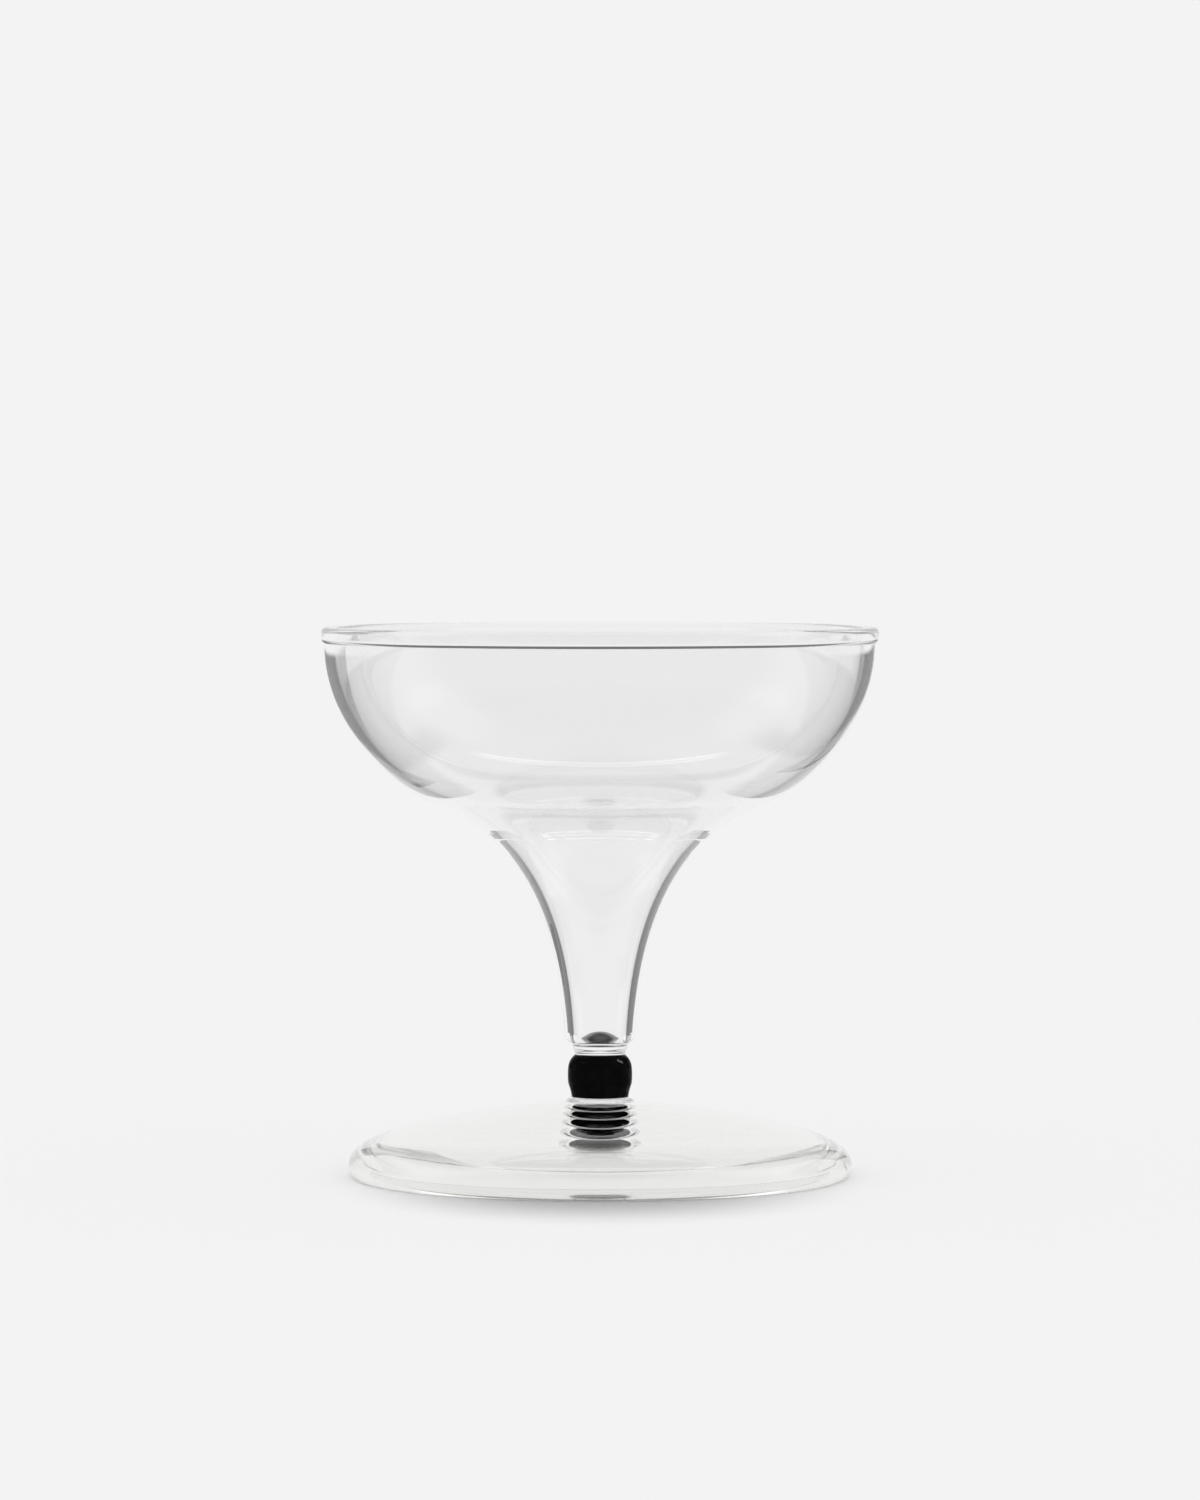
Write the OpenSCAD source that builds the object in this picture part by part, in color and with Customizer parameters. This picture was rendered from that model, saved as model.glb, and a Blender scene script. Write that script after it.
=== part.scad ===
// Coupe glass: a wide shallow bowl on a hollow trumpet stem, a black glass bead between
// two clear joints, and a low domed foot. Every piece is a body of revolution about Z.
// The glass stands on z = 0, and the pieces are stacked and fused face to face.

/* [Bowl] */
// Outer diameter over the rolled rim
rim_d = 100; // [90:0.5:110]
// Height of the bowl, from its seam with the stem to the top of the rim
bowl_h = 36.8; // [34:0.2:42]
// Height of the rolled rim's bead
rim_h = 3.1; // [2.6:0.1:3.6]
// How far the rim's bead stands out from the outer wall
rim_proud = 0.5; // [0.3:0.05:0.8]
// Thickness of the rolled rim
rim_t = 2.6; // [2.3:0.1:3]
// Wall of the bowl just below the rim
bowl_wall = 1.85; // [1.6:0.05:2.1]
// Radius at which the bowl's underside turns over into the stem
shoulder_r = 30.1; // [27:0.1:33]
// Height of that turn above the seam
shoulder_h = 5.3; // [4.8:0.1:6]
// Slope of the underside at the turn, in degrees
shoulder_slope = 21.5; // [18:0.5:25]

/* [Stem] */
// Height of the stem, from its closed tip to the seam with the bowl
stem_h = 38.6; // [34:0.2:44]
// Outer radius of the stem above its rounded tip
stem_r = 6.3; // [6:0.1:7]
// Flare of the stem just above its tip, in degrees
stem_flare = 3.3; // [2:0.1:5]
// Wall of the hollow stem
stem_wall = 1.6; // [1.3:0.05:1.9]
// Height over which the tip is rounded in
tip_round_h = 2; // [1.8:0.1:2.4]
// Thickness of the closed tip under the edge of its inner dome
tip_floor_t = 1.25; // [1:0.05:1.4]
// Rise of the inner dome at the middle of the closed tip
tip_dome_h = 1.5; // [1.2:0.1:1.8]

/* [Bead and joints] */
// Height of the clear joint above the bead
upper_joint_h = 1.5; // [1:0.1:2.5]
// Radius of the upper joint where it meets the stem's tip
upper_joint_r = 4.9; // [4.8:0.05:5.2]
// Radius of the bead's top face
bead_top_r = 4.55; // [4.3:0.05:4.75]
// Greatest radius of the bead
bead_r = 5.8; // [5.6:0.1:6.4]
// Radius of the bead's bottom face
bead_low_r = 5.1; // [4.8:0.1:5.4]
// Height of the bead
bead_h = 7.5; // [6.5:0.1:9]
// Height of the clear joint below the bead
lower_joint_h = 1; // [0.6:0.05:1.4]
// Radius of the lower joint where it meets the foot
lower_joint_r = 6.8; // [6.2:0.1:7.4]

/* [Foot] */
// Outer diameter of the foot
foot_d = 90.4; // [84:0.4:100]
// Height of the foot at its middle
foot_h = 13.4; // [12:0.1:15]
// Thickness of the foot at its middle
foot_mid_t = 2.85; // [2.5:0.05:3.2]
// Slope of the foot's top next to the joint, in degrees
foot_slope = 6.6; // [6:0.1:7.4]
// Slope of its underside around the middle, in degrees
under_slope = 4.5; // [4:0.1:5]
// Thickness of the foot's turned-down edge
edge_t = 3.8; // [3.2:0.1:4.4]
// Height of the edge's widest line above the table
edge_h = 2.3; // [2:0.1:2.6]
// Width of the flat ring that touches the table
rest_w = 1; // [0.8:0.1:1.3]

/* [Hidden] */
$fn = 180;
// Straight steps in each curve
steps = 32;
clear_glass = [0.86, 0.9, 0.9, 0.45];
black_glass = [0.04, 0.04, 0.045, 1];

// Heights of the fused faces, from the table up
joint_low_z = foot_h;
bead_low_z = joint_low_z + lower_joint_h;
bead_top_z = bead_low_z + bead_h;
tip_z = bead_top_z + upper_joint_h;
seam_z = tip_z + stem_h;
top_z = seam_z + bowl_h;

// Radii and heights of the bowl
rim_r = rim_d / 2;
bowl_r = rim_r - rim_proud;
rim_low_z = top_z - rim_h;
rim_corner_share = 0.34;
rim_corner = rim_h * rim_corner_share;
shoulder_z = seam_z + shoulder_h;

// Lengths of the curves' handles, as shares of the spans they shape
side_drop_share = 0.515;
side_reach_share = 0.415;
flare_reach_share = 0.695;
flare_rise_share = 0.533;
tip_side_share = 0.65;
tip_neck_share = 0.4;
dome_width_share = 0.955;
corner_high_share = 0.6;
corner_low_share = 0.1;
third_share = 1 / 3;
neck_share = 0.5;
fillet_rise_share = 0.1;
swell_share = 0.45;
bead_widest_share = 0.52;
bead_side_share = 0.6;
bead_low_share = 0.58;
bead_swell_share = 0.55;
bead_crown_in_share = 0.2;
bead_crown_share = 0.25;
foot_reach_share = 0.39;
foot_drop_share = 0.6;
under_reach_share = 0.39;
under_drop_share = 0.55;
edge_round_share = 0.5;

// A point on the cubic curve with ends p[0] and p[3] and handles p[1] and p[2]
function on_curve(p, t) =
    pow(1 - t, 3) * p[0] + 3 * pow(1 - t, 2) * t * p[1]
    + 3 * (1 - t) * t * t * p[2] + pow(t, 3) * p[3];

// The direction of that curve at t, one unit long
function along_curve(p, t) =
    let (d = pow(1 - t, 2) * (p[1] - p[0]) + 2 * (1 - t) * t * (p[2] - p[1])
        + t * t * (p[3] - p[2]))
    d / norm(d);

// The curve in straight steps
function curve(p) = [for (i = [0 : steps]) on_curve(p, i / steps)];

// The curve moved towards the axis by a wall that changes evenly from its start to its end, for a
// curve that is drawn from the top down
function inner_curve(p, start_wall, end_wall) = [
    for (i = [0 : steps])
        let (t = i / steps, d = along_curve(p, t))
        on_curve(p, t) + ((1 - t) * start_wall + t * end_wall) * [d[1], -d[0]]
];

// An arc about a centre, from angle a to angle b
function arc(centre, r, a, b) = [
    for (i = [0 : steps])
        let (w = a + (b - a) * i / steps)
        centre + r * [cos(w), sin(w)]
];

function reversed(points) = [for (i = [len(points) - 1 : -1 : 0]) points[i]];

// Outside of the bowl, from under the rim down to the turn of the shoulder
shoulder_dir = [cos(shoulder_slope), sin(shoulder_slope)];
shoulder = [shoulder_r, shoulder_z];
bowl_curve = [
    [bowl_r, rim_low_z],
    [bowl_r, rim_low_z - side_drop_share * (rim_low_z - shoulder_z)],
    shoulder + side_reach_share * (bowl_r - shoulder_r) * shoulder_dir,
    shoulder
];

// Outside of the stem's flare, from the shoulder down to the top of the rounded tip
flare_low_z = tip_z + tip_round_h;
flare_low = [stem_r, flare_low_z];
flare_curve = [
    shoulder,
    shoulder - flare_reach_share * (shoulder_r - stem_r) * shoulder_dir,
    flare_low + flare_rise_share * (shoulder_z - flare_low_z) * [sin(stem_flare), cos(stem_flare)],
    flare_low
];

// Outside of the rounded tip
tip_curve = [
    flare_low,
    flare_low - tip_side_share * tip_round_h * [sin(stem_flare), cos(stem_flare)],
    [upper_joint_r, tip_z + tip_neck_share * tip_round_h],
    [upper_joint_r, tip_z]
];

// Inside of the bowl just below the rim. The wall thins evenly from there to the stem
inner_r = bowl_r - bowl_wall;
shoulder_wall = (bowl_wall + stem_wall) / 2;

// Inside of the closed tip: the corner of the cavity and the low dome at its middle
cavity_low = inner_curve(flare_curve, shoulder_wall, stem_wall)[steps];
dome_edge = [dome_width_share * cavity_low[0], tip_z + tip_floor_t];
dome_top = [0, dome_edge[1] + tip_dome_h];
corner_curve = [
    cavity_low,
    [cavity_low[0], dome_edge[1] + corner_high_share * (cavity_low[1] - dome_edge[1])],
    [cavity_low[0], dome_edge[1] + corner_low_share * (cavity_low[1] - dome_edge[1])],
    dome_edge
];
dome_curve = [
    dome_edge,
    [(1 - third_share) * dome_edge[0], dome_edge[1] + neck_share * tip_dome_h],
    [third_share * dome_edge[0], dome_top[1]],
    dome_top
];

// The rolled rim, from the outer wall over the top to the inner wall, with four round corners
rim_inner_r = rim_r - rim_t;
rim_out_angle = acos(1 - rim_proud / rim_corner);
rim_in_angle = acos(1 - (inner_r - rim_inner_r) / rim_corner);
rim_outline = [
    each arc([rim_r - rim_corner, rim_low_z + rim_corner], rim_corner, -rim_out_angle, 0),
    each arc([rim_r - rim_corner, top_z - rim_corner], rim_corner, 0, 90),
    each arc([rim_inner_r + rim_corner, top_z - rim_corner], rim_corner, 90, 180),
    each arc([rim_inner_r + rim_corner, rim_low_z + rim_corner], rim_corner, 180, 180 + rim_in_angle)
];

// Half section of the bowl and stem together, before the seam divides them
wall_section = [
    each curve(bowl_curve),
    each curve(flare_curve),
    each curve(tip_curve),
    [0, tip_z],
    each reversed(curve(dome_curve)),
    each reversed(curve(corner_curve)),
    each reversed(inner_curve(flare_curve, shoulder_wall, stem_wall)),
    each reversed(inner_curve(bowl_curve, bowl_wall, shoulder_wall)),
    each reversed(rim_outline)
];

// The half plane between two heights, as wide as the rim
module band(low, high) {
    translate([0, low])
        square([rim_d, high - low]);
}

module bowl() {
    color(clear_glass)
        rotate_extrude()
            intersection() {
                polygon(wall_section);
                band(seam_z, top_z);
            }
}

module stem() {
    color(clear_glass)
        rotate_extrude()
            intersection() {
                polygon(wall_section);
                band(tip_z, seam_z);
            }
}

// The clear rod end between the closed tip and the bead, drawn in slightly to a waist
module upper_joint() {
    joint_curve = [
        [bead_top_r, bead_top_z],
        [bead_top_r, bead_top_z + neck_share * upper_joint_h],
        [upper_joint_r, tip_z - third_share * upper_joint_h],
        [upper_joint_r, tip_z]
    ];
    color(clear_glass)
        rotate_extrude()
            polygon([[0, bead_top_z], each curve(joint_curve), [0, tip_z]]);
}

// The black bead: it swells quickly under its top face and draws in slowly to its bottom
module bead() {
    low_h = bead_widest_share * bead_h;
    crown_h = bead_h - low_h;
    widest = [bead_r, bead_low_z + low_h];
    lower_curve = [
        [bead_low_r, bead_low_z],
        [bead_low_r + neck_share * (bead_r - bead_low_r), bead_low_z + bead_side_share * low_h],
        [bead_r, widest[1] - bead_low_share * low_h],
        widest
    ];
    upper_curve = [
        widest,
        [bead_r, widest[1] + bead_swell_share * crown_h],
        [bead_r - bead_crown_in_share * (bead_r - bead_top_r), bead_top_z - bead_crown_share * crown_h],
        [bead_top_r, bead_top_z]
    ];
    color(black_glass)
        rotate_extrude()
            polygon([[0, bead_low_z], each curve(lower_curve), each curve(upper_curve), [0, bead_top_z]]);
}

// The clear rod end under the bead, swollen a little and spread out in a small fillet on the foot
module lower_joint() {
    joint_curve = [
        [lower_joint_r, joint_low_z],
        [
            lower_joint_r - neck_share * (lower_joint_r - bead_low_r),
            joint_low_z + fillet_rise_share * lower_joint_h
        ],
        [bead_low_r + swell_share * (lower_joint_r - bead_low_r), bead_low_z],
        [bead_low_r, bead_low_z]
    ];
    color(clear_glass)
        rotate_extrude()
            polygon([[0, joint_low_z], each curve(joint_curve), [0, bead_low_z]]);
}

// The foot: a shallow dome of one wall, turned down to a thick round edge
module foot() {
    foot_r = foot_d / 2;
    top_curve = [
        [lower_joint_r, foot_h],
        [lower_joint_r, foot_h]
            + foot_reach_share * (foot_r - lower_joint_r) * [1, -tan(foot_slope)],
        [foot_r, edge_h + foot_drop_share * (foot_h - edge_h)],
        [foot_r, edge_h]
    ];
    under_r = foot_r - edge_t;
    under_z = foot_h - foot_mid_t;
    under_curve = [
        [0, under_z],
        [0, under_z] + under_reach_share * under_r * [1, -tan(under_slope)],
        [under_r, edge_h + under_drop_share * (under_z - edge_h)],
        [under_r, edge_h]
    ];
    round_w = (edge_t - rest_w) / 2;
    outer_round = [
        [foot_r, edge_h],
        [foot_r, edge_round_share * edge_h],
        [foot_r - edge_round_share * round_w, 0],
        [foot_r - round_w, 0]
    ];
    inner_round = [
        [under_r + round_w, 0],
        [under_r + edge_round_share * round_w, 0],
        [under_r, edge_round_share * edge_h],
        [under_r, edge_h]
    ];
    color(clear_glass)
        rotate_extrude()
            polygon([
                [0, foot_h],
                each curve(top_curve),
                each curve(outer_round),
                each curve(inner_round),
                each reversed(curve(under_curve))
            ]);
}

bowl();
stem();
upper_joint();
bead();
lower_joint();
foot();
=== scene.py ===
import math
from collections import defaultdict
from functools import reduce

import bpy
import numpy as np
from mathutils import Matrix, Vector


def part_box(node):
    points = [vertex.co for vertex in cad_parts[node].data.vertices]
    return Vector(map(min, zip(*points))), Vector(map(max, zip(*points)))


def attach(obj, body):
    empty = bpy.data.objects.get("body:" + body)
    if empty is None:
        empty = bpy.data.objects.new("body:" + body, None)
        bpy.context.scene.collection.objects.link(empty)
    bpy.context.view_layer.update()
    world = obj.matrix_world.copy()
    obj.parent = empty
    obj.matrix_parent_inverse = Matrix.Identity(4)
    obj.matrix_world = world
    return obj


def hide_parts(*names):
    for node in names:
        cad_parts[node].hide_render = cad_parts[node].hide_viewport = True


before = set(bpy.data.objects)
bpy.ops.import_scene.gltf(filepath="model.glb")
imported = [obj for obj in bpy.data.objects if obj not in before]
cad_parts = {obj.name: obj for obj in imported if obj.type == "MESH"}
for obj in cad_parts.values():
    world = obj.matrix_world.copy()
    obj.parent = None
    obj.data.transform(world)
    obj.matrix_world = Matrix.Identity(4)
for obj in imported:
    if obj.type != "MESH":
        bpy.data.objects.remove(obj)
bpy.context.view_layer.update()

# Units and tolerances
MM = 0.001
TINY = 1e-6

# How finely the pieces are turned
SEGMENTS = 240
FINE = 0.5 * MM
CORNER = math.radians(20)

# The photograph's view, the film's long side and the camera's range in metres
EYE = Vector((0, -1220 * MM, 122 * MM))
AIM = Vector((0, 0, 100.7 * MM))
AXIS_X_PX = 600
AIM_Y_PX = 616
PICTURE_W, PICTURE_H = 1200, 1500
LONG_SIDE_MM = 36
LENS_MM = 163.2
NEAREST, FURTHEST = 0.01, 100

# The clear glass: its tint, with two pieces apart, and its faint waves
GLASS_IOR = 1.474
PLAIN_TINT = (0.992, 0.994, 0.993)
GLASS_TINTS = {"bowl": (0.97, 0.971, 0.971), "foot": (0.94, 0.945, 0.93)}
WAVES_PER_M = (60, 60, 24)
WAVE_STRENGTH, WAVE_DEEP_MM = 0.02, 0.1

# The black glass of the bead and of its fused ends, each from its darkest to its palest
BLACK_IOR, BLACK_SPECULAR = 1.5, 0.01
BLACK = (0.0012, 0.0012, 0.0014, 1)
BEAD_PALEST, CORE_PALEST = (0.005, 0.005, 0.0055, 1), (0.004, 0.004, 0.0045, 1)
BEAD_ROUGHNESS = (0.03, 0.09)
CLOUD_SCALE, CLOUD_DETAIL = 260, 3

# Turns and faces of a ray are whole counts, told apart by half a count
HALF_COUNT = 0.5

# Faces that light passes on its way through the glass's wall once and twice
ONE_WALL, TWO_WALLS = 2, 4

# Levels of the stage, from 0 to 1 in linear light
BACKDROP = 0.896
FLOOR = 0.896
# Painted light: the floor under the foot is painted brighter than the rest, to lift the shade that the
# glass casts there
PAINTED_LIGHT_UNDER_FOOT = 1
FRONT_LEVEL = 0.4
CARD_COLOR = (0.14, 0.13, 0.132)

# The dark cards beside the bright backdrop: far edge, near edge, and lowest and highest line
CARDS_MM = {
    "left_card": ((-65, 97), (-58, -40), (20, 95)),
    "right_card": ((123, 296), (56, -40), (20, 95)),
}

# Where the cards darken, from clear to full, at their near end, at the top and low down
CARD_NEAR_Y_MM = (-40, -10)
CARD_TOP_Z_MM = (93.6, 91.8)
CARD_LOW_Y_MM, CARD_LOW_Z_MM = (30, 42), (36, 46)

# Where the cards' near part starts for light from inside the glass, and below which height it is whole
CARD_INNER_Y_MM, CARD_INNER_Z_MM = (-4, 14), (62, 52)

# The far lower part of the cards that is paler, for the ends of the foot
PALER_SHARE = 0.6
PALER_Y_MM, PALER_ABOVE_Z_MM, PALER_BELOW_Z_MM = (46, 60), (24, 30), (66, 50)

# The far upper part of the cards that light straight through two walls sees
TWO_WALLS_SHARE = 0.75
TWO_WALLS_Y_MM, TWO_WALLS_Z_MM = (38, 46), (56, 66)

# The floor's half width in metres, and the radii between which the painted light under the foot ends and
# the painted shade begins
FLOOR_HALF = 6
UNDER_FOOT_MM = (36, 44)

# The zones of the floor beside the glass that are dark to light that one wall turned aside
SIDE_FLOOR_MM, SIDE_FLOOR_SPREAD = 48, 0.1
SIDE_FLOOR_START_Y_MM, SIDE_FLOOR_END_Y_MM = (30, 50), (460, 360)

# The painted shade in front of the foot: an oval that is full within a share of its half sizes
SHADE, SHADE_FULL_SHARE = 0.49, 0.3
SHADE_MIDDLE_MM, SHADE_ACROSS_MM, SHADE_DEEP_MM = -22, 47, 65

# Where the studio grows bright from front to back, by the direction's Y
BEHIND_START, BEHIND_END = -0.35, 0.15

# The dark ceiling, by the direction's Z, for light with few turns that has passed more than one wall
CEILING_START, CEILING_END, CEILING_LEVEL = 0.52, 0.66, 0.03
CEILING_MOST_TURNS, CEILING_LEAST_FACES = 2, 3

# The darker height, by the direction's Z, for light that one wall bends up without a turn
BENT_UP_START, BENT_UP_END, BENT_UP_DARKER = 0.22, 0.28, 0.85

# The soft boxes that the glass reflects: direction, inner and outer half angle, and strength
SOFT_BOXES = [
    ((0.75, 0.1, 0.65), math.radians(8), math.radians(22), 0.3),
    ((-0.75, 0.1, 0.65), math.radians(8), math.radians(20), 0.25),
]

# The thin hoop of light overhead: its axis, cosine of its half angle, half width, and strength
HOOP_AXIS, HOOP_AT, HOOP_WIDE, HOOP = (0, 0.768, 0.64), 0.8, 0.012, 2.2

# Where the hoop fades at the sides, by the direction's X, and ends low down, by its Z
HOOP_SIDES, HOOP_LOW = (0.5, 0.4), 0.6

# The strip lamps that light the bead alone: name, place, width and height in metres, and watts
LAMPS = [
    ("key", (0.86, 0.16, 0.66), 0.12, 0.45, 160),
    ("fill", (-0.8, -0.1, 0.62), 0.3, 0.12, 7),
]
LAMPS_AIM = Vector((0, 0, 0.04))

# Enough bounces for light that runs about inside the solid glass
BOUNCES = 128


def half_section(node):
    """The outline of a turned CAD node in its half plane, anticlockwise, as rows of radius and height."""
    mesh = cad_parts[node].data
    place = {
        v.index: (round(v.co.x / TINY), round(v.co.z / TINY))
        for v in mesh.vertices
        if abs(v.co.y) < TINY and v.co.x > -TINY
    }
    linked = defaultdict(set)
    for edge in mesh.edges:
        ends = [place.get(i) for i in edge.vertices]
        if None not in ends and ends[0] != ends[1]:
            linked[ends[0]].add(ends[1])
            linked[ends[1]].add(ends[0])
    start = min(linked, key=lambda p: (len(linked[p]), p))
    line = [start]
    while True:
        onward = [p for p in linked[line[-1]] if p not in line[-2:] and p != start]
        if not onward or (len(line) > 2 and onward[0] in line):
            break
        line.append(onward[0])
    open_line = len(linked[start]) == 1
    line = np.array(line) * TINY
    if open_line:
        # A solid piece's line has two ends, and both are led on to the axis
        first, last = [[0, line[0, 1]]], [[0, line[-1, 1]]]
        line = np.vstack([first, line, last])
        keep = np.r_[True, np.linalg.norm(np.diff(line, axis=0), axis=1) > TINY]
        line = line[keep]
    after = np.roll(line, -1, 0)
    if (line[:, 0] * after[:, 1] - after[:, 0] * line[:, 1]).sum() < 0:
        line = line[::-1]
    return line


def tangents(run):
    """The direction at each point of a smooth run, from the parabola through it and its neighbours."""
    if len(run) == 2:
        step = run[1] - run[0]
        return np.array([step, step]) / np.linalg.norm(step)
    step = np.diff(run, axis=0)
    length = np.linalg.norm(step, axis=1)[:, None]
    slope = step / length
    inner = (slope[:-1] * length[1:] + slope[1:] * length[:-1]) / (length[:-1] + length[1:])
    found = np.vstack([2 * slope[:1] - inner[:1], inner, 2 * slope[-1:] - inner[-1:]])
    return found / np.linalg.norm(found, axis=1)[:, None]


def refined(run):
    """Points at least every FINE along a smooth run, on cubics through its points, and the directions."""
    way = tangents(run)
    points, ways = [run[0]], [way[0]]
    for a, b, da, db in zip(run, run[1:], way, way[1:]):
        length = np.linalg.norm(b - a)
        count = max(1, math.ceil(length / FINE))
        for k in range(1, count + 1):
            t = k / count
            cubic = (
                (1 + 2 * t) * (1 - t) ** 2 * a
                + t * (1 - t) ** 2 * length * da
                + t * t * (3 - 2 * t) * b
                - t * t * (1 - t) * length * db
            )
            points.append(b if k == count else cubic)
            mix = (1 - t) * da + t * db
            ways.append(mix / np.linalg.norm(mix))
    return np.array(points), np.array(ways)


def from_corner(line):
    """The outline, made to start on the axis or, where it has no point there, at its sharpest corner."""
    on_axis = line[:, 0] < TINY
    if on_axis.any():
        start = next(i for i in np.flatnonzero(on_axis) if not on_axis[(i + 1) % len(line)])
        return np.roll(line, -start, 0)
    step = np.roll(line, -1, 0) - line
    angle = np.arctan2(step[:, 1], step[:, 0])
    turn = np.abs((angle - np.roll(angle, 1) + math.pi) % (2 * math.pi) - math.pi)
    line = np.roll(line, -int(turn.argmax()), 0)
    return np.vstack([line, line[:1]])


def smooth_runs(line, heights):
    """The outline cut at corners and round its flat faces at these heights, and which runs are those."""
    step = np.diff(line, axis=0)
    angle = np.arctan2(step[:, 1], step[:, 0])
    turn = np.abs((np.diff(angle) + math.pi) % (2 * math.pi) - math.pi)
    level = np.abs(line[:, 1, None] - np.array(heights)) < TINY
    fused = (level[:-1] & level[1:]).any(axis=1)
    cuts = [0, *(np.flatnonzero((turn > CORNER) | (fused[1:] != fused[:-1])) + 1), len(line) - 1]
    return [(line[a : b + 1], fused[a]) for a, b in zip(cuts, cuts[1:])]


def kept_corners(low, high):
    """The corners of the faces between two rings. A ring that is one point on the axis leaves out one."""
    if low[0] == low[1]:
        return [0, 2, 3]
    if high[0] == high[1]:
        return [0, 1, 2]
    return [0, 1, 2, 3]


def skin(line, heights):
    """The turned outline's points, faces, normals and, for each face, 1 if it is flat at these heights."""
    spin = np.linspace(0, 2 * math.pi, SEGMENTS, endpoint=False)
    across = np.stack([np.cos(spin), np.sin(spin)], axis=1)
    next_across = np.roll(across, -1, 0)
    verts, faces, normals, flat = [], [], [], []

    def ring(point):
        first = len(verts)
        if point[0] < TINY:
            verts.append((0, 0, point[1]))
            return np.full(SEGMENTS, first)
        verts.extend(np.column_stack([point[0] * across, np.full(SEGMENTS, point[1])]).tolist())
        return np.arange(first, first + SEGMENTS)

    joined = np.allclose(line[0], line[-1], atol=TINY)
    start = ring(line[0])
    low = start
    for run, fused in smooth_runs(line, heights):
        points, ways = refined(run)
        for at, way, next_way in zip(points[1:], ways, ways[1:]):
            high = start if joined and np.allclose(at, line[-1], atol=TINY) else ring(at)
            corners = np.stack([low, np.roll(low, -1), np.roll(high, -1), high], axis=1)
            out = np.stack([across, next_across, next_across, across], axis=1)
            rise = np.array([way, way, next_way, next_way])
            upward = np.broadcast_to(-rise[:, :1], (SEGMENTS, 4, 1))
            facing = np.concatenate([out * rise[:, 1:], upward], axis=2)
            kept = kept_corners(low, high)
            faces.extend(corners[:, kept].tolist())
            normals.append(facing[:, kept].reshape(-1, 3))
            flat.extend([int(fused)] * SEGMENTS)
            low = high
    return verts, faces, np.vstack(normals), flat


def turned(name, node, heights, materials):
    """The node's outline turned smooth, with the second material on its flat faces at these heights."""
    verts, faces, normals, flat = skin(from_corner(half_section(node)), heights)
    mesh = bpy.data.meshes.new(name)
    mesh.from_pydata(verts, [], faces)
    for material in materials:
        mesh.materials.append(material)
    mesh.polygons.foreach_set("material_index", flat)
    mesh.polygons.foreach_set("use_smooth", [True] * len(faces))
    mesh.update()
    mesh.normals_split_custom_set(normals)
    piece = bpy.data.objects.new(name, mesh)
    bpy.context.scene.collection.objects.link(piece)
    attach(piece, "root")
    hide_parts(node)
    return piece


class Shader:
    """The emptied node tree of a material or of the world, with short ways to add its nodes."""

    def __init__(self, owner):
        owner.use_nodes = True
        self.tree = owner.node_tree
        self.tree.nodes.clear()

    def add(self, kind, inputs, **settings):
        """A new node with these settings. Each input is fed by a socket or set to a plain value."""
        node = self.tree.nodes.new(kind)
        for name, value in settings.items():
            setattr(node, name, value)
        for key, value in inputs.items():
            if isinstance(value, bpy.types.NodeSocket):
                self.tree.links.new(value, node.inputs[key])
            else:
                node.inputs[key].default_value = value
        return node

    def place(self, kind):
        """Texture coordinates of this kind, as a vector and its three parts."""
        vector = self.add("ShaderNodeTexCoord", {}).outputs[kind]
        parts = self.add("ShaderNodeSeparateXYZ", {"Vector": vector}).outputs
        return vector, parts["X"], parts["Y"], parts["Z"]

    def maths(self, operation, *terms):
        node = self.add("ShaderNodeMath", dict(enumerate(terms)), operation=operation)
        return node.outputs["Value"]

    def vector_maths(self, operation, *terms):
        node = self.add("ShaderNodeVectorMath", dict(enumerate(terms)), operation=operation)
        return node.outputs["Value"]

    def product(self, *terms):
        return reduce(lambda a, b: self.maths("MULTIPLY", a, b), terms)

    def largest(self, *terms):
        return reduce(lambda a, b: self.maths("MAXIMUM", a, b), terms)

    def rest_of(self, share):
        return self.maths("SUBTRACT", 1, share)

    def is_count(self, counter, number):
        """1 for rays whose counter stands at this number."""
        return self.maths("COMPARE", counter, number, HALF_COUNT)

    def smooth(self, value, low, high, at_low, at_high):
        ends = {"From Min": low, "From Max": high, "To Min": at_low, "To Max": at_high}
        node = self.add("ShaderNodeMapRange", {"Value": value, **ends}, interpolation_type="SMOOTHSTEP")
        return node.outputs["Result"]

    def ramp(self, value, start, end):
        """0 at start and 1 at end, smooth between them, whichever is the larger."""
        if start > end:
            return self.smooth(value, end, start, 1, 0)
        return self.smooth(value, start, end, 0, 1)

    def ramp_mm(self, value, ends_mm):
        return self.ramp(value, ends_mm[0] * MM, ends_mm[1] * MM)

    def output(self, surface, kind="ShaderNodeOutputMaterial"):
        self.add(kind, {"Surface": surface})


def new_material(name):
    material = bpy.data.materials.new(name)
    return material, Shader(material)


def clear_glass(node):
    """Clear blown glass: smooth, with the faint waves that a flame leaves."""
    material, shader = new_material(node + "_glass")
    place = shader.add("ShaderNodeTexCoord", {}).outputs["Object"]
    stretched = shader.add("ShaderNodeMapping", {"Vector": place, "Scale": WAVES_PER_M})
    noise = {"Vector": stretched.outputs["Vector"], "Scale": 1, "Detail": 1}
    waves = shader.add("ShaderNodeTexNoise", noise).outputs["Fac"]
    relief = {"Height": waves, "Strength": WAVE_STRENGTH, "Distance": WAVE_DEEP_MM * MM}
    bump = shader.add("ShaderNodeBump", relief)
    glass = {
        "Base Color": (*GLASS_TINTS.get(node, PLAIN_TINT), 1),
        "IOR": GLASS_IOR,
        "Transmission Weight": 1,
        "Roughness": 0,
        "Normal": bump.outputs["Normal"],
    }
    shader.output(shader.add("ShaderNodeBsdfPrincipled", glass).outputs["BSDF"])
    return material


def fused_glass():
    """Where two clear pieces were melted together: light goes straight on."""
    material, shader = new_material("fused_glass")
    shader.output(shader.add("ShaderNodeBsdfTransparent", {}).outputs["BSDF"])
    return material


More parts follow.
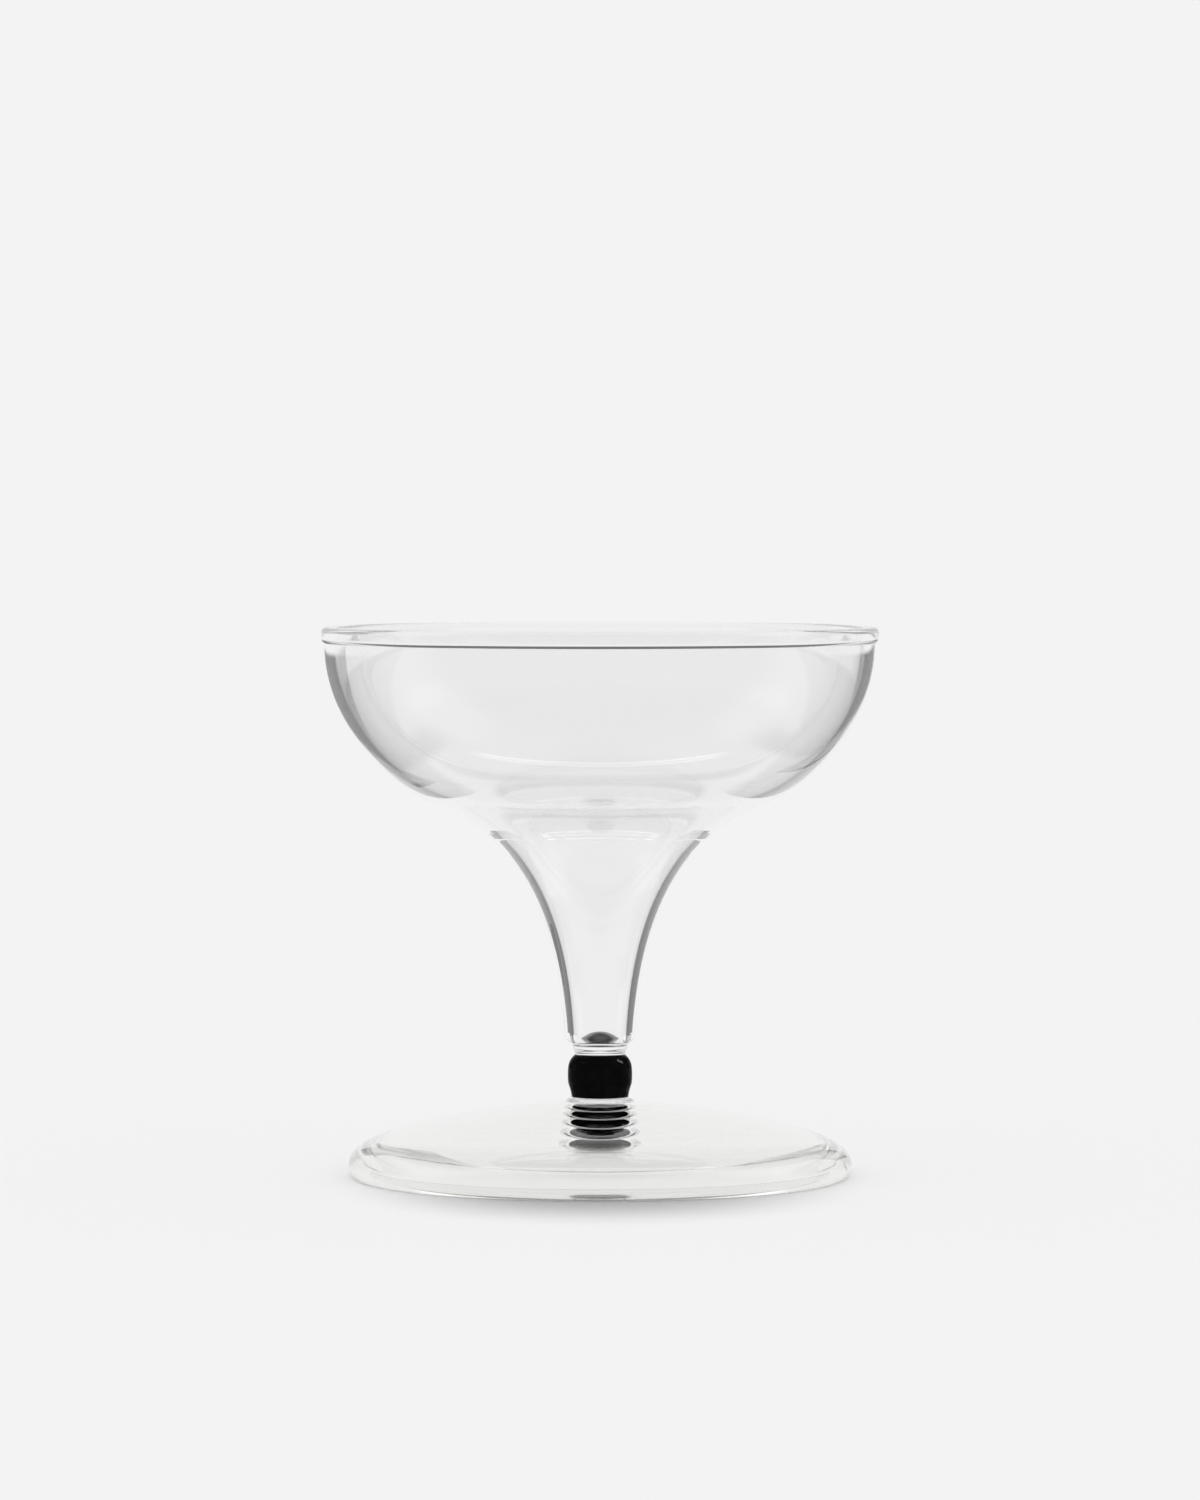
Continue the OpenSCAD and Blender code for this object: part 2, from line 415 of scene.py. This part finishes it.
def black_tone(shader, cloud, paler):
    """Black that turns a little paler where the cloud is dense."""
    tone = shader.add("ShaderNodeValToRGB", {"Fac": cloud})
    tone.color_ramp.elements[0].color = BLACK
    tone.color_ramp.elements[1].color = paler
    return tone.outputs["Color"]


def black_glass():
    """Glossy black glass of the bead."""
    material, shader = new_material("black_glass")
    place = shader.add("ShaderNodeTexCoord", {}).outputs["Object"]
    noise = {"Vector": place, "Scale": CLOUD_SCALE, "Detail": CLOUD_DETAIL}
    cloud = shader.add("ShaderNodeTexNoise", noise).outputs["Fac"]
    low, high = BEAD_ROUGHNESS
    gloss = shader.add("ShaderNodeMapRange", {"Value": cloud, "To Min": low, "To Max": high})
    glass = {
        "Base Color": black_tone(shader, cloud, BEAD_PALEST),
        "IOR": BLACK_IOR,
        "Specular IOR Level": BLACK_SPECULAR,
        "Roughness": gloss.outputs["Result"],
    }
    shader.output(shader.add("ShaderNodeBsdfPrincipled", glass).outputs["BSDF"])
    return material


def bead_core():
    """The bead's end faces, which are fused to clear glass and so have no gloss of their own."""
    material, shader = new_material("bead_core")
    cloud = shader.add("ShaderNodeTexNoise", {"Scale": CLOUD_SCALE}).outputs["Fac"]
    paint = shader.add("ShaderNodeBsdfDiffuse", {"Color": black_tone(shader, cloud, CORE_PALEST)})
    shader.output(paint.outputs["BSDF"])
    return material


def build_glass():
    fused, black, core = fused_glass(), black_glass(), bead_core()
    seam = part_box("stem")[1].z
    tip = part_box("stem")[0].z
    bead_top, bead_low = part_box("bead")[1].z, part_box("bead")[0].z
    foot_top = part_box("foot")[1].z
    rows = [
        ("glass_bowl", "bowl", [seam], "clear_glass"),
        ("glass_stem", "stem", [seam, tip], "clear_glass"),
        ("glass_upper_joint", "upper_joint", [tip, bead_top], "clear_glass"),
        ("black_bead", "bead", [bead_top, bead_low], "black_glass"),
        ("glass_lower_joint", "lower_joint", [bead_low, foot_top], "clear_glass"),
        ("glass_foot", "foot", [foot_top], "clear_glass"),
    ]
    pieces = {}
    for name, node, heights, slot in rows:
        worn = [black, core] if slot == "black_glass" else [clear_glass(node), fused]
        pieces[node] = turned(name, node, heights, worn)
    return pieces


def sheet(name, corners, material, unseen_by=()):
    """A flat stage card, which these kinds of ray don't see."""
    mesh = bpy.data.meshes.new(name)
    mesh.from_pydata(corners, [], [(0, 1, 2, 3)])
    mesh.materials.append(material)
    card = bpy.data.objects.new(name, mesh)
    bpy.context.scene.collection.objects.link(card)
    for kind in unseen_by:
        setattr(card, "visible_" + kind, False)


def output_dark(shader, light, share):
    """The material's output: this light, and the cards' dark tone where share is 1."""
    dark = shader.add("ShaderNodeEmission", {"Color": (*CARD_COLOR, 1)}).outputs["Emission"]
    mix = shader.add("ShaderNodeMixShader", {"Fac": share, 1: light, 2: dark})
    shader.output(mix.outputs["Shader"])


def dark_card():
    """Seen by light that the glass turned aside once or bent through two walls. Other light passes."""
    material, shader = new_material("dark_card")
    path = shader.add("ShaderNodeLightPath", {}).outputs
    turns, faces = path["Glossy Depth"], path["Transmission Depth"]
    _, _, deep, high = shader.place("Object")
    outside = shader.is_count(faces, 0)
    inner = shader.ramp_mm(deep, CARD_INNER_Y_MM)
    inner_low = shader.ramp_mm(high, CARD_INNER_Z_MM)
    near = shader.product(shader.ramp_mm(deep, CARD_NEAR_Y_MM), shader.largest(outside, inner, inner_low))
    top = shader.ramp_mm(high, CARD_TOP_Z_MM)
    low = shader.largest(shader.ramp_mm(deep, CARD_LOW_Y_MM), shader.ramp_mm(high, CARD_LOW_Z_MM))
    paler = shader.product(
        shader.ramp_mm(deep, PALER_Y_MM),
        shader.ramp_mm(high, PALER_ABOVE_Z_MM),
        shader.ramp_mm(high, PALER_BELOW_Z_MM),
        PALER_SHARE,
    )
    two_walls = shader.product(
        shader.is_count(turns, 0),
        shader.is_count(faces, TWO_WALLS),
        shader.ramp_mm(deep, TWO_WALLS_Y_MM),
        shader.ramp_mm(high, TWO_WALLS_Z_MM),
        TWO_WALLS_SHARE,
    )
    seen = shader.largest(shader.is_count(turns, 1), two_walls)
    clear = shader.add("ShaderNodeBsdfTransparent", {}).outputs["BSDF"]
    output_dark(shader, clear, shader.product(seen, near, top, low, shader.rest_of(paler)))
    return material


def floor_paint():
    """Pale floor with a painted shade before the foot and painted light under it. Light that one wall
    turned aside finds its sides dark.
    """
    material, shader = new_material("floor")
    path = shader.add("ShaderNodeLightPath", {}).outputs
    place, across, deep, _ = shader.place("Object")
    past_foot = shader.ramp_mm(shader.vector_maths("LENGTH", place), UNDER_FOOT_MM)
    oval = {
        "Vector": place,
        "Location": (0, SHADE_MIDDLE_MM * MM, 0),
        "Scale": (SHADE_ACROSS_MM * MM, SHADE_DEEP_MM * MM, 1),
    }
    in_oval = shader.add("ShaderNodeMapping", oval, vector_type="TEXTURE").outputs["Vector"]
    share_out = shader.vector_maths("LENGTH", in_oval)
    # Painted shade: the floor is darkened in an oval before the foot, in place of its contact shadow
    shade = shader.product(past_foot, shader.ramp(share_out, 1, SHADE_FULL_SHARE), SHADE)
    # Painted light under the foot, fading out where the painted shade begins
    painted_light_under_foot = shader.product(shader.rest_of(past_foot), PAINTED_LIGHT_UNDER_FOOT - FLOOR)
    floor_tone_with_painted_shade_and_light = shader.maths("ADD", shader.product(shader.rest_of(shade), FLOOR), painted_light_under_foot)
    paint = shader.add("ShaderNodeBsdfDiffuse", {"Color": floor_tone_with_painted_shade_and_light}).outputs["BSDF"]
    out_there = shader.maths(
        "SUBTRACT", shader.maths("ABSOLUTE", across), shader.product(deep, SIDE_FLOOR_SPREAD)
    )
    dark = shader.product(
        shader.is_count(path["Glossy Depth"], 1),
        shader.is_count(path["Transmission Depth"], ONE_WALL),
        shader.maths("GREATER_THAN", out_there, SIDE_FLOOR_MM * MM),
        shader.ramp_mm(deep, SIDE_FLOOR_START_Y_MM),
        shader.ramp_mm(deep, SIDE_FLOOR_END_Y_MM),
    )
    output_dark(shader, paint, dark)
    return material


def build_stage():
    ends = ((-1, -1), (1, -1), (1, 1), (-1, 1))
    corners = [(x * FLOOR_HALF, y * FLOOR_HALF, 0) for x, y in ends]
    sheet("floor", corners, floor_paint())
    dark = dark_card()
    for name, (far, near, (low, high)) in CARDS_MM.items():
        corners = [(*far, low), (*near, low), (*near, high), (*far, high)]
        sheet(name, [Vector(c) * MM for c in corners], dark, ("camera", "diffuse", "shadow"))


def studio_level(shader, path):
    """How bright the studio is in each direction, for light that the glass reflects or bends."""
    turns, faces = path["Glossy Depth"], path["Transmission Depth"]
    toward, across, deep, high = shader.place("Generated")
    behind = shader.smooth(deep, BEHIND_START, BEHIND_END, FRONT_LEVEL, BACKDROP)
    ceiling = shader.product(
        shader.ramp(high, CEILING_START, CEILING_END),
        shader.maths("LESS_THAN", turns, CEILING_MOST_TURNS + HALF_COUNT),
        shader.maths("GREATER_THAN", faces, CEILING_LEAST_FACES - HALF_COUNT),
        1 - CEILING_LEVEL,
    )
    bent_up = shader.product(
        shader.ramp(high, BENT_UP_START, BENT_UP_END),
        shader.is_count(turns, 0),
        shader.is_count(faces, ONE_WALL),
        BENT_UP_DARKER,
    )
    level = shader.product(behind, shader.rest_of(shader.largest(ceiling, bent_up)))
    for box, inner, outer, strength in SOFT_BOXES:
        facing = shader.vector_maths("DOT_PRODUCT", toward, Vector(box).normalized())
        glow = shader.ramp(facing, math.cos(outer), math.cos(inner))
        level = shader.maths("ADD", level, shader.product(glow, strength))
    along = shader.vector_maths("DOT_PRODUCT", toward, HOOP_AXIS)
    off = shader.maths("ABSOLUTE", shader.maths("SUBTRACT", along, HOOP_AT))
    hoop = shader.product(
        shader.ramp(off, HOOP_WIDE, HOOP_WIDE / 2),
        shader.is_count(turns, 1),
        shader.ramp(shader.maths("ABSOLUTE", across), *HOOP_SIDES),
        shader.maths("GREATER_THAN", high, HOOP_LOW),
        HOOP,
    )
    return shader.maths("ADD", level, hoop)


def build_world():
    """Camera rays see the plain backdrop, diffuse rays an even dome, and the glass the studio."""
    world = bpy.data.worlds.new("studio")
    bpy.context.scene.world = world
    shader = Shader(world)
    world.cycles.sampling_method = "NONE"
    path = shader.add("ShaderNodeLightPath", {}).outputs

    def background(color):
        return shader.add("ShaderNodeBackground", {"Color": color}).outputs["Background"]

    studio = background(studio_level(shader, path))
    dome = background((1, 1, 1, 1))
    backdrop = background((BACKDROP, BACKDROP, BACKDROP, 1))
    even = shader.add("ShaderNodeMixShader", {"Fac": path["Diffuse Depth"], 1: studio, 2: dome})
    seen = {"Fac": path["Is Camera Ray"], 1: even.outputs["Shader"], 2: backdrop}
    shown = shader.add("ShaderNodeMixShader", seen)
    shader.output(shown.outputs["Shader"], "ShaderNodeOutputWorld")


def build_lamps(bead):
    """Two strip lamps high at the sides, which light the black glass alone."""
    lit = bpy.data.collections.new("lit_by_lamps")
    lit.objects.link(bead)
    for name, place, wide, high, power in LAMPS:
        lamp = bpy.data.lights.new(name, "AREA")
        lamp.shape = "RECTANGLE"
        lamp.size, lamp.size_y = wide, high
        lamp.energy = power
        box = bpy.data.objects.new(name, lamp)
        box.location = place
        box.rotation_euler = (LAMPS_AIM - Vector(place)).to_track_quat("-Z", "Y").to_euler()
        box.visible_diffuse = False
        box.visible_camera = False
        box.light_linking.receiver_collection = lit
        bpy.context.scene.collection.objects.link(box)


def build_camera():
    """The photograph's camera, shifted so that the aim falls on its own pixel of the picture."""
    lens = bpy.data.cameras.new("camera")
    lens.sensor_width = LONG_SIDE_MM
    lens.lens = LENS_MM
    lens.shift_x = (PICTURE_W / 2 - AXIS_X_PX) / PICTURE_H
    lens.shift_y = (AIM_Y_PX - PICTURE_H / 2) / PICTURE_H
    lens.clip_start, lens.clip_end = NEAREST, FURTHEST
    camera = bpy.data.objects.new("camera", lens)
    camera.location = EYE
    camera.rotation_euler = (AIM - EYE).to_track_quat("-Z", "Y").to_euler()
    bpy.context.scene.collection.objects.link(camera)
    bpy.context.scene.camera = camera


def set_up_rendering():
    scene = bpy.context.scene
    scene.view_settings.view_transform = "Standard"
    scene.cycles.max_bounces = BOUNCES
    scene.cycles.transmission_bounces = BOUNCES
    scene.cycles.glossy_bounces = BOUNCES
    scene.cycles.transparent_max_bounces = BOUNCES
    scene.cycles.blur_glossy = 0


build_camera()
pieces = build_glass()
build_stage()
build_world()
build_lamps(pieces["bead"])
set_up_rendering()
